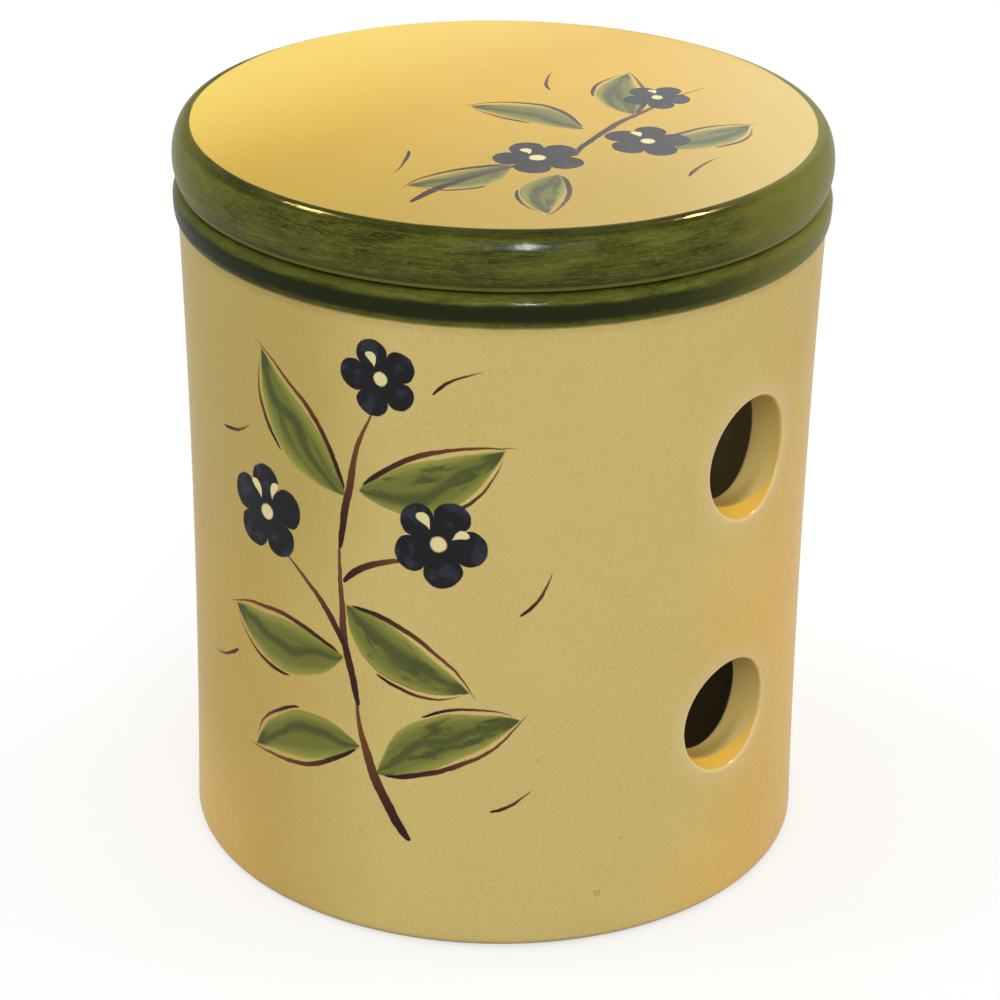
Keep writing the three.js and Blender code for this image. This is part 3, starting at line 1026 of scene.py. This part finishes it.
def vent_glaze(tree, place, split, colour, shape, glazes):
    """The glaze draws back from the vents' lips and is browner towards their top and in patches; shade is
    painted at their inner foot, and lamp light on their floor up to the lip's painted shadow
    """
    low, high = shape.vents
    between_vents = (low.height + high.height) / 2 / MM
    is_high = add_node(tree, MATHS, {0: split[2], 1: between_vents}, operation="GREATER_THAN")

    def by_vent(for_low, for_high):
        """A value that the lower vents and the upper vents each have their own of"""
        more = for_high - for_low
        return add_node(tree, MATHS, {0: is_high, 1: more, 2: for_low}, operation="MULTIPLY_ADD")

    wall = by_vent(shape.wall_radius(low.height) / MM, shape.wall_radius(high.height) / MM)
    depth = add_node(tree, MATHS, {0: wall, 1: off_axis_in_mm(tree, split)}, operation="SUBTRACT")
    middle = by_vent(low.height / MM, high.height / MM)
    rise = add_node(tree, MATHS, {0: split[2], 1: middle}, operation="SUBTRACT")
    turned_to = add_node(tree, MATHS, {0: split[0]}, operation="SIGN")
    off_round = by_vent(low.off_round / MM, high.off_round / MM)
    side = add_node(tree, MATHS, {0: split[1], 1: turned_to}, operation="MULTIPLY")
    side = add_node(tree, MATHS, {0: side, 1: off_round}, operation="SUBTRACT")
    bore = shape.sizes.vent_radius
    across = by_vent(bore / low.half_width, bore / high.half_width)
    across = add_node(tree, MATHS, {0: side, 1: across}, operation="MULTIPLY")
    up = by_vent(bore / low.half_height, bore / high.half_height)
    up = add_node(tree, MATHS, {0: rise, 1: up}, operation="MULTIPLY")
    offset = add_node(tree, COMBINE, {0: across, 1: up, 2: 0.0})
    distance = add_node(tree, VECTOR_MATHS, {0: offset}, out=1, operation="LENGTH")

    bore /= MM
    lip = bore + shape.sizes.vent_lip / MM
    inner_lip = (shape.sizes.wall_thickness - shape.sizes.vent_lip) / MM
    cloud = add_node(tree, NOISE, {"Vector": place, "Scale": 1 / 5.0, "Detail": 2.0})
    # The painted lamp light reaches deeper into the vent lower down and to one side, so that its edge, the
    # lip's painted shadow, is aslant
    aslant = add_node(tree, MATHS, {0: side, 1: by_vent(-0.13, -0.24)}, operation="MULTIPLY")
    slope = by_vent(-0.32, -0.35)
    lit_depth = add_node(tree, MATHS, {0: rise, 1: slope, 2: aslant}, operation="MULTIPLY_ADD")
    # How far a place lies inside the painted light's edge
    level = add_node(tree, MATHS, {0: lit_depth, 1: depth}, operation="SUBTRACT")
    # The painted lamp light on the vent's floor, paler near the lip
    lit_floor = gone_over(tree, glazes.vent_light, (glazes.halo, depth, 1.6, 0.4, 0.3))
    # Painted shade at the inner foot of the vent, just outside the painted light's edge
    vent_foot_shade = product_of(tree, (level, -6.0, 0.0), (depth, 2.0, 5.0))
    inside = gone_over(
        tree, glazes.bore,
        # Browner towards the top of each vent and in patches
        (glazes.bore_brown, rise, 3.0, 9.5, 0.8),
        (glazes.bore_brown, cloud, 0.45, 0.65, 0.45),
        (glazes.bore_shade, vent_foot_shade, 0.0, 1.0, 0.9),
        (lit_floor, level, -0.6, 0.25),
        (glazes.line, depth, inner_lip, inner_lip + 0.3, 0.55),
    )
    # All that lies deeper than the outer lip is inside
    past_lip = add_node(tree, RANGE, {"Value": depth, **between(2.0, 3.0, 0.0, -8.0)}, **SMOOTHLY)
    to_bore = add_node(tree, MATHS, {0: distance, 1: past_lip}, operation="ADD")
    return gone_over(
        tree, colour,
        (glazes.halo, distance, lip + 4.2, lip, 0.36),
        (glazes.halo, distance, lip + 0.25, lip - 0.15, 0.85),
        (inside, to_bore, bore + 0.4, bore + 0.1),
    )


def wall_slip(tree, place, split, glazes):
    """Straw slip of the wall, with shade painted tan to one side and dull under the bead there, and warm
    light painted to the other side and near the foot
    """
    sideways = add_node(tree, VECTOR_MATHS, {0: place, 1: SIDE_LIGHT_WAY}, out=1, operation="DOT_PRODUCT")
    sideways = drifting(tree, sideways, place, 20.0, 14.0, 3.0)
    off_middle = add_node(tree, MATHS, {0: sideways}, operation="ABSOLUTE")
    # Painted shadow under the bead on the shaded side
    dull = product_of(tree, (sideways, -8.0, -34.0), (split[2], 50.0, 92.0))
    # Painted warm light near the foot on both sides, and up the lit side
    warm_foot_light = product_of(tree, (off_middle, 20.0, 60.0), (split[2], 45.0, 5.0, 0.0, 0.8))
    warm = product_of(tree, (sideways, 26.0, 68.0), (split[2], 118.0, 50.0, 0.35, 0.95))
    warm = add_node(tree, MATHS, {0: warm, 1: warm_foot_light}, operation="MAXIMUM")
    # Painted shade, tan, to one side and at the far edge of the other, then the painted shadow and the warm
    # light
    colour = gone_over(
        tree, glazes.jar_straw,
        (glazes.jar_shaded_tan, sideways, -8.0, -42.0),
        (glazes.jar_shadow_dull, dull, 0.0, 1.0, 0.85),
        (glazes.jar_shaded_tan, sideways, 50.0, 66.0, 0.85),
        (glazes.jar_warm_lit, warm, 0.0, 1.0),
    )
    return speckled(tree, place, colour, glazes.speckle)


def jar_wall_material(glazes, shape):
    """Speckled straw slip, painted by hand, under a clear glaze: glossy, cloudy in its colour, and with light
    and shade painted across it
    """
    material, tree, place, split = piece_material("Speckled straw earthenware glaze, hand painted")
    colour = wall_slip(tree, place, split, glazes)
    for middle, radius in PINHOLES:
        off = add_node(tree, VECTOR_MATHS, {0: place, 1: middle}, out=1, operation="DISTANCE")
        colour = gone_over(
            tree, colour,
            (glazes.speckle, off, radius, 0.5 * radius, 0.6),
            (glazes.jar_straw, off, 0.5 * radius, 0.15 * radius, 0.7),
        )

    around = around_in_mm(tree, split, shape.rim_radius)
    surface = add_node(tree, COMBINE, {0: around, 1: split[2], 2: 0.0})
    colour, relief = painted_spray(tree, surface, JAR_SPRAY, colour, glaze_relief(tree, place), glazes)
    colour = vent_glaze(tree, place, split, colour, shape, glazes)
    # The glaze was wiped off the foot's edge, where the body shows brown, with contact shade painted there
    # too
    colour = gone_over(tree, colour, (glazes.line, split[2], 0.9, 0.2, 0.7))
    return glazed(material, colour, relief)


def jar_bead_material(glazes, shape):
    """Green slip brushed round the bead under clear glaze, with light painted olive on top and shade painted
    near black on its lower part
    """
    material, tree, place, split = piece_material("Brushed green slip under clear glaze, bead")
    straw = wall_slip(tree, place, split, glazes)
    crest = (shape.height - shape.sizes.bead_crest) / MM
    ragged = drifting(tree, split[2], place, 5.0, 0.5)
    border = shape.shoulder / MM - 0.1
    # Painted shade on the bead's lower part, which faces down: less near its foot and towards the lit side,
    # more towards the shaded side
    down = between(crest + 1.6, crest + 0.45, 0.0, 0.92)
    lower_shade = add_node(tree, RANGE, {"Value": ragged, **down}, **SMOOTHLY)
    sideways = add_node(tree, VECTOR_MATHS, {0: place, 1: SIDE_LIGHT_WAY}, out=1, operation="DOT_PRODUCT")
    thinner = product_of(tree, (ragged, border + 0.4, border + 1.9), (sideways, 12.0, 50.0, 1.0, 0.55))
    pooled = add_node(tree, MATHS, {0: lower_shade, 1: thinner}, operation="MULTIPLY")
    shaded_side = add_node(tree, RANGE, {"Value": sideways, **between(0.0, -42.0, 0.0, 0.4)}, **SMOOTHLY)
    pooled = add_node(tree, MATHS, {0: pooled, 1: shaded_side}, operation="MAXIMUM")
    around = around_in_mm(tree, split, shape.rim_radius)
    green, brushed = green_slip(tree, place, around, split[2], pooled, BEAD_SHEEN_FROM, glazes)
    # Painted light on the bead's upper part
    green = gone_over(tree, green, (glazes.green_light, lower_shade, 0.3, 0.0, 0.15))
    colour = gone_over(
        tree, straw,
        (glazes.green_light, ragged, border - 0.35, border + 0.1, 0.8),
        (green, ragged, border, border + 0.7),
    )
    # The glaze is smooth where the bead's shade is painted, and sparkles over the brushed slip above
    rough = add_node(tree, RANGE, {"Value": pooled, **between(0.0, 1.0, 2 * BRUSH_RELIEF, 0.0)})
    relief = glaze_relief(tree, place)
    relief = add_node(tree, MATHS, {0: brushed, 1: rough, 2: relief}, operation="MULTIPLY_ADD")
    return glazed(material, colour, relief, coat=RIM_COAT, ior=RIM_IOR)


def inside_material(name, glazes):
    """Plain cream glaze inside, thinner and less glossy, with shade painted darker towards the jar's floor"""
    material, tree, place, split = piece_material(name)
    # Painted shade, darker towards the floor
    colour = gone_over(tree, glazes.inside, (glazes.inside_shade, split[2], 38.0, 10.0, 0.85))
    colour = speckled(tree, place, colour, glazes.speckle)
    return glazed(material, colour, glaze_relief(tree, place), roughness=0.2)


def clay_material(glazes):
    """Bare fired earthenware: dull, sandy and darker in its pores, with grains of about 0.6 mm"""
    material, tree, place = piece_material("Bare fired earthenware")[:3]
    sand = add_node(tree, NOISE, {"Vector": place, "Scale": 1 / 0.6, "Detail": 4.0, "Roughness": 0.7})
    colour = gone_over(tree, glazes.clay_dark, (glazes.clay, sand, 0.35, 0.65))
    return glazed(material, colour, sand, depth=0.12, coat=0.0)


def lid_slip(tree, place, split, glazes):
    """Straw slip on the lid, with light painted on it: golden to duller across it as the light falls off,
    brighter to one side, and a pale sheen to the other
    """
    across = add_node(tree, VECTOR_MATHS, {0: place, 1: LID_LIGHT_WAY}, out=1, operation="DOT_PRODUCT")
    across = drifting(tree, across, place, 24.0, 20.0)
    sideways = add_node(tree, VECTOR_MATHS, {0: place, 1: SIDE_LIGHT_WAY}, out=1, operation="DOT_PRODUCT")
    # Painted light: golden falling off to shaded straw, a lit yellow side and a pale sheen on the other
    colour = gone_over(
        tree, glazes.lid_gold,
        (glazes.lid_shaded_straw, across, -18.0, 62.0),
        (glazes.lid_lit_yellow, split[0], -10.0, -56.0, 0.85),
        (glazes.lid_sheen_pale, sideways, 20.0, 62.0, 0.85),
    )
    return speckled(tree, place, colour, glazes.speckle, 0.4)


def lid_panel_material(glazes):
    """Golden straw slip on the lid, painted by hand, under a thick glossy clear glaze"""
    material, tree, place, split = piece_material("Golden straw earthenware glaze of the lid, hand painted")
    flat = add_node(tree, COMBINE, {0: split[0], 1: split[1], 2: 0.0})
    colour, relief = painted_spray(
        tree, flat, LID_SPRAY, lid_slip(tree, place, split, glazes), glaze_relief(tree, place), glazes
    )
    return glazed(material, colour, relief, roughness=0.1, coat=0.7)


def lid_rim_material(glazes, sizes):
    """Green slip brushed round the lid's rim under clear glaze, darkest by the panel, with shade painted on
    its lower side and under its lower edge
    """
    material, tree, place, split = piece_material("Brushed green slip under clear glaze, lid rim")
    # Millimetres in and up from where the rim's side would meet the panel's level
    section = add_node(tree, MATHS, {0: split[2], 1: off_axis_in_mm(tree, split)}, operation="SUBTRACT")
    section = add_node(tree, MATHS, {0: section, 1: (lid_high.z - lid_high.x) / MM}, operation="SUBTRACT")
    under_panel = add_node(tree, RANGE, {"Value": section, **between(-0.5, 0.9, 0.0, 0.55)}, **SMOOTHLY)
    # Painted shade on the rim's lower side, which faces down; pooled holds it with the glaze pooled by the
    # panel
    lower_side_shade = add_node(tree, RANGE, {"Value": section, **between(-7.4, -9.2, 0.0, 0.6)}, **SMOOTHLY)
    pooled = add_node(tree, MATHS, {0: under_panel, 1: lower_side_shade}, operation="MAXIMUM")
    around = around_in_mm(tree, split, lid_high.x)
    green, brushed = green_slip(tree, place, around, section, pooled, RIM_SHEEN_FROM, glazes)

    # The glaze breaks thin over the lower edge, lighter there with a painted highlight, and shade is painted
    # near black under it
    bottom = (lid_high.z - sizes.height) / MM
    green = gone_over(
        tree, green,
        (glazes.green_light, split[2], bottom + 1.4, bottom + 0.9, 0.5),
        (glazes.green_dark, split[2], bottom + 0.6, bottom + 0.3),
    )
    ragged = drifting(tree, section, place, 9.0, 0.7)
    # The brush kept further out at the back, so that the panel's slip reaches the rim's round there
    to_back = add_node(tree, VECTOR_MATHS, {0: place, 1: BACK_WAY}, out=1, operation="DOT_PRODUCT")
    kept_out = add_node(tree, RANGE, {"Value": to_back, **between(15.0, 50.0)}, **SMOOTHLY)
    ragged = add_node(tree, MATHS, {0: kept_out, 1: ragged}, operation="ADD")
    colour = gone_over(
        tree, lid_slip(tree, place, split, glazes),
        (glazes.green_light, ragged, 4.1, 3.8, 0.7),
        (green, ragged, 3.9, 3.5),
    )
    relief = glaze_relief(tree, place)
    relief = add_node(tree, MATHS, {0: brushed, 1: BRUSH_RELIEF, 2: relief}, operation="MULTIPLY_ADD")
    return glazed(material, colour, relief, coat=RIM_COAT, ior=RIM_IOR)


# Operators


class KEEPER_OT_jar(Operator):
    """Make the glazed jar with its vents, bead and foot ring"""

    bl_idname = "keeper.jar"
    bl_label = "Glazed jar"

    def execute(self, context):
        keeper = context.scene
        shape = JarShape(keeper.keeper_jar, keeper.keeper_fineness)
        glazes = keeper.keeper_glazes
        materials = [
            jar_wall_material(glazes, shape),
            jar_bead_material(glazes, shape),
            inside_material("Straw earthenware glaze, inside", glazes),
            clay_material(glazes),
        ]
        jar = jar_shell(shape).to_object("glazed_jar", materials)
        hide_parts("jar")
        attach(jar, "jar")
        return {"FINISHED"}


class KEEPER_OT_lid(Operator):
    """Make the glazed lid with its locating ring"""

    bl_idname = "keeper.lid"
    bl_label = "Glazed lid"

    def execute(self, context):
        keeper = context.scene
        glazes = keeper.keeper_glazes
        materials = [
            lid_panel_material(glazes),
            lid_rim_material(glazes, keeper.keeper_lid),
            inside_material("Straw earthenware glaze, under the lid", glazes),
            clay_material(glazes),
        ]
        shell = lid_shell(keeper.keeper_lid, keeper.keeper_jar, keeper.keeper_fineness)
        lid = shell.to_object("glazed_lid", materials)
        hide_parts("lid")
        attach(lid, "lid")
        return {"FINISHED"}


class KEEPER_OT_stage(Operator):
    """Set up the pale floor, the soft studio light and the camera"""

    bl_idname = "keeper.stage"
    bl_label = "Studio stage"

    def execute(self, context):
        make_floor()
        make_world(context.scene)
        for light in STUDIO_LIGHTS:
            make_light(**light)
        make_camera(context.scene)
        return {"FINISHED"}


# Stage


# The camera stands off the front, towards +X. Its azimuth is in degrees and its other turns in radians, and
# its lens and sensor are in millimetres.
CAMERA_AZIMUTH = 41.5
CAMERA_AWAY = 593.51 * MM
CAMERA_HEIGHT = 345.0 * MM
CAMERA_DOWN = 0.44335
CAMERA_ROLL = 0.01527
CAMERA_YAW = 0.00055
CAMERA_LENS = 123.86
SENSOR_WIDTH = 36.0

# Lights: azimuth from the camera and elevation in degrees, and distance, width and height in metres.
# The square ones light the clay, and only gloss shows the narrow bright ones.
STUDIO_LIGHTS = [
    {"name": "Key", "azimuth": 8.5, "elevation": 30, "away": 1.3, "size": (0.6, 0.6), "watts": 3.6},
    {"name": "Right", "azimuth": 108, "elevation": 50, "away": 1.2, "size": (0.7, 0.7), "watts": 2.2},
    {"name": "Left", "azimuth": -98, "elevation": 52, "away": 1.2, "size": (0.7, 0.7), "watts": 2.6},
    {"name": "Key glint", "azimuth": 8.5, "elevation": 24, "away": 1.3, "size": (0.09, 0.045), "watts": 10,
     "glint": True},
    {"name": "Key glow", "azimuth": 8.5, "elevation": 24, "away": 1.3, "size": (0.9, 0.035), "watts": 5.5,
     "tint": "#DCE4FF", "glint": True},
    {"name": "Right glint", "azimuth": 118, "elevation": 56.5, "away": 1.2, "size": (0.26, 0.06),
     "watts": 48, "tint": "#FFC673", "glint": True},
    {"name": "Left glint", "azimuth": -117, "elevation": 57, "away": 1.2, "size": (0.26, 0.06),
     "watts": 48, "tint": "#FFC673", "glint": True},
]
FLOOR_RADIUS = 4.0
FLOOR_COLUMNS = 96
# How much of the floor's shading and shadow the eye sees as plain white
FLOOR_WHITE = 0.55
# Light from the studio's walls and from its ceiling, and how bright gloss shows the ceiling
WALL_LIGHT = 1.2
CEILING_LIGHT = 0.7
CEILING_SHOWN = 0.48
# The window that glossy surfaces show: azimuth from the camera and elevation in degrees, and from how many
# degrees off its middle it brightens to how many
WINDOW_AZIMUTH = 166.0
WINDOW_ELEVATION = 21.0
WINDOW_REACH = (18.0, 5.0)
WINDOW_LIGHT = 1.1


def make_camera(scene):
    """The camera, where the photograph was taken from"""
    data = bpy.data.cameras.new("Camera")
    data.lens = CAMERA_LENS
    data.sensor_width = SENSOR_WIDTH
    camera = bpy.data.objects.new("Camera", data)
    scene.collection.objects.link(camera)
    turn = Matrix.Rotation(math.radians(CAMERA_AZIMUTH), 4, "Z")
    place = Matrix.Translation((0.0, -CAMERA_AWAY, CAMERA_HEIGHT))
    yaw = Matrix.Rotation(-CAMERA_YAW, 4, "Z")
    tilt = Matrix.Rotation(math.pi / 2 - CAMERA_DOWN, 4, "X")
    roll = Matrix.Rotation(CAMERA_ROLL, 4, "Z")
    camera.matrix_world = turn @ place @ yaw @ tilt @ roll
    scene.camera = camera


def way_from_camera(azimuth, elevation):
    """The way to a place in the studio, turned this many degrees from the camera and raised"""
    a, e = math.radians(CAMERA_AZIMUTH + azimuth), math.radians(elevation)
    return Vector((math.sin(a) * math.cos(e), -math.cos(a) * math.cos(e), math.sin(e)))


def make_light(name, azimuth, elevation, away, size, watts, tint="#FFFFFF", glint=False):
    """An oblong light that faces the middle of the keeper, and lights clay or shows in gloss"""
    data = bpy.data.lights.new(name, "AREA")
    data.shape = "RECTANGLE"
    data.size, data.size_y = size
    data.energy = watts
    data.color = linear(tint)[:3]
    light = bpy.data.objects.new(name, data)
    bpy.context.scene.collection.objects.link(light)
    light.visible_diffuse = not glint
    light.visible_glossy = glint
    back = way_from_camera(azimuth, elevation)
    middle = Vector((0.0, 0.0, lid_high.z / 2))
    light.location = middle + back * away
    light.rotation_mode = "QUATERNION"
    light.rotation_quaternion = (-back).to_track_quat("-Z", "Y")


def seen_or_mirrored(tree):
    """Is 1 for what the eye sees, also through gloss and glass, and 0 for light on its way to clay"""
    rays = add_node(tree, "ShaderNodeLightPath").node.outputs
    seen = add_node(tree, MATHS, {0: rays["Is Camera Ray"], 1: rays["Is Glossy Ray"]}, operation="MAXIMUM")
    return add_node(tree, MATHS, {0: seen, 1: rays["Is Transmission Ray"]}, operation="MAXIMUM")


def make_floor():
    """A wide pale floor. It shows white to the eye and in reflections, and throws less light up"""
    shell = Shell()
    turns = [2 * math.pi * i / FLOOR_COLUMNS for i in range(FLOOR_COLUMNS)]
    ring = shell.ring([(FLOOR_RADIUS * math.sin(t), -FLOOR_RADIUS * math.cos(t), 0.0) for t in turns])
    shell.cap(ring, (0.0, 0.0, 0.0), 0)
    mesh = bpy.data.meshes.new("floor")
    mesh.from_pydata(shell.points, [], shell.faces)
    material = new_material("Pale studio floor")
    tree = material.node_tree
    seen = seen_or_mirrored(tree)
    colour = gone_over(tree, linear("#A0A0A0"), (linear("#FAFAFA"), seen, 0.0, 1.0))
    lit = add_node(tree, "ShaderNodeBsdfDiffuse", {"Color": colour})
    white = add_node(tree, "ShaderNodeEmission", {"Color": (1.0, 1.0, 1.0, 1.0), "Strength": 1.0})
    share = add_node(tree, MATHS, {0: seen, 1: FLOOR_WHITE}, operation="MULTIPLY")
    shader = add_node(tree, "ShaderNodeMixShader", {0: share, 1: lit, 2: white})
    add_node(tree, "ShaderNodeOutputMaterial", {"Surface": shader})
    mesh.materials.append(material)
    floor = bpy.data.objects.new("floor", mesh)
    bpy.context.scene.collection.objects.link(floor)


def make_world(scene):
    """White studio walls to the eye and in reflections, with a window behind, and an even light on all"""
    world = bpy.data.worlds.new("Studio")
    world.use_nodes = True
    tree = world.node_tree
    tree.nodes.clear()
    way = add_node(tree, "ShaderNodeTexCoord", out="Generated")
    rise = add_node(tree, SPLIT, {0: way}).node.outputs[2]
    light = add_node(tree, RANGE, {"Value": rise, **between(0.1, 0.9, WALL_LIGHT, CEILING_LIGHT)}, **SMOOTHLY)
    wall = add_node(tree, RANGE, {"Value": rise, **between(0.1, 0.3, 1.0, CEILING_SHOWN)}, **SMOOTHLY)
    window_way = way_from_camera(WINDOW_AZIMUTH, WINDOW_ELEVATION)
    toward = add_node(tree, VECTOR_MATHS, {0: way, 1: window_way}, out=1, operation="DOT_PRODUCT")
    far, near = (math.cos(math.radians(reach)) for reach in WINDOW_REACH)
    window = add_node(tree, RANGE, {"Value": toward, **between(far, near, 0.0, WINDOW_LIGHT)}, **SMOOTHLY)
    wall = add_node(tree, MATHS, {0: wall, 1: window}, operation="ADD")
    strength = add_node(
        tree, MIX, {0: seen_or_mirrored(tree), FLOAT_A: light, FLOAT_B: wall}, data_type="FLOAT"
    )
    shader = add_node(tree, "ShaderNodeBackground", {"Color": (1.0, 1.0, 1.0, 1.0), "Strength": strength})
    add_node(tree, "ShaderNodeOutputWorld", {"Surface": shader})
    scene.world = world


# Panel


class KEEPER_PT_panel(Panel):
    """Lists the keeper's sizes, colours and pieces"""

    bl_idname = "KEEPER_PT_panel"
    bl_label = "Ventilated keeper"
    bl_space_type = "VIEW_3D"
    bl_region_type = "UI"
    bl_category = "Keeper"

    def draw(self, context):
        layout = self.layout
        for group, label, kind in GROUPS:
            box = layout.box()
            box.label(text=label)
            for name in kind.__annotations__:
                box.prop(getattr(context.scene, group), name)
        for operator in OPERATORS:
            layout.operator(operator.bl_idname)


GROUPS = [
    ("keeper_jar", "Jar", KeeperJarSizes),
    ("keeper_lid", "Lid", KeeperLidSizes),
    ("keeper_glazes", "Glazes and paint", KeeperGlazes),
    ("keeper_fineness", "Fineness", KeeperFineness),
]
OPERATORS = [KEEPER_OT_stage, KEEPER_OT_jar, KEEPER_OT_lid]
CLASSES = [*(kind for _, _, kind in GROUPS), *OPERATORS, KEEPER_PT_panel]


def register():
    """Lets Blender know the classes, and gives each scene the keeper's settings"""
    for cls in CLASSES:
        bpy.utils.register_class(cls)
    for group, label, kind in GROUPS:
        setattr(bpy.types.Scene, group, PointerProperty(name=label, type=kind))


def unregister():
    """Takes back what register did"""
    for group, _, _ in GROUPS:
        delattr(bpy.types.Scene, group)
    for cls in reversed(CLASSES):
        bpy.utils.unregister_class(cls)


def main():
    """Builds the stage and the pieces"""
    register()
    bpy.context.scene.view_settings.view_transform = "Standard"
    bpy.ops.keeper.stage()
    bpy.ops.keeper.jar()
    bpy.ops.keeper.lid()


if __name__ == "__main__":
    main()
